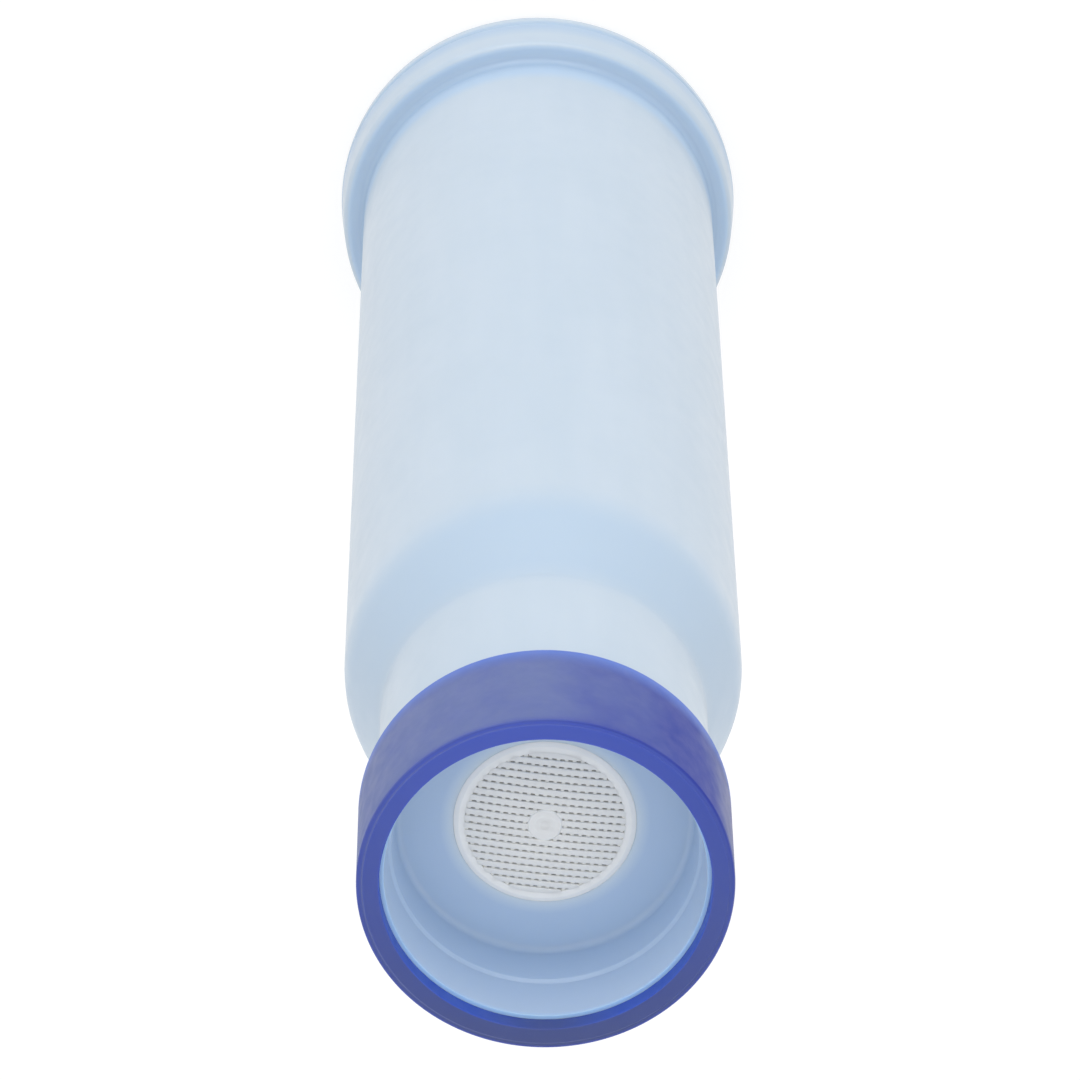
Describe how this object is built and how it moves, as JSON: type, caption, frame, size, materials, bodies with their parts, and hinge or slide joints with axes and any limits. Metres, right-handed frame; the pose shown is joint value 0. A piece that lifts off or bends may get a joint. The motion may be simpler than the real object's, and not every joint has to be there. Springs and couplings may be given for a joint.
{
  "type": "coffee machine water filter",
  "caption": "Plug-in tank filter cartridge: tapered light blue plastic body with an end flange, a neck with a stepped socket and white strainer, and a long dark blue rubber seal over the mouth.",
  "frame": {"origin": "centre of the end cap's foot, in the plane that the cartridge stands on", "axes": "+Z along the cartridge's axis, from the end cap to the socket's mouth"},
  "size_m": [0.0452, 0.0452, 0.158],
  "materials": {
    "light_blue_plastic": "satin moulded polypropylene",
    "dark_blue_rubber": "matte moulded rubber",
    "white_plastic": "satin moulded plastic",
    "granules": "loose resin and carbon granules"
  },
  "bodies": {
    "root": {"housing": "light_blue_plastic", "end_cap": "light_blue_plastic", "seal_ring": "dark_blue_rubber", "outlet_screen": "white_plastic", "inlet_screen": "white_plastic", "filter_media": "granules"}
  },
  "joints": []
}
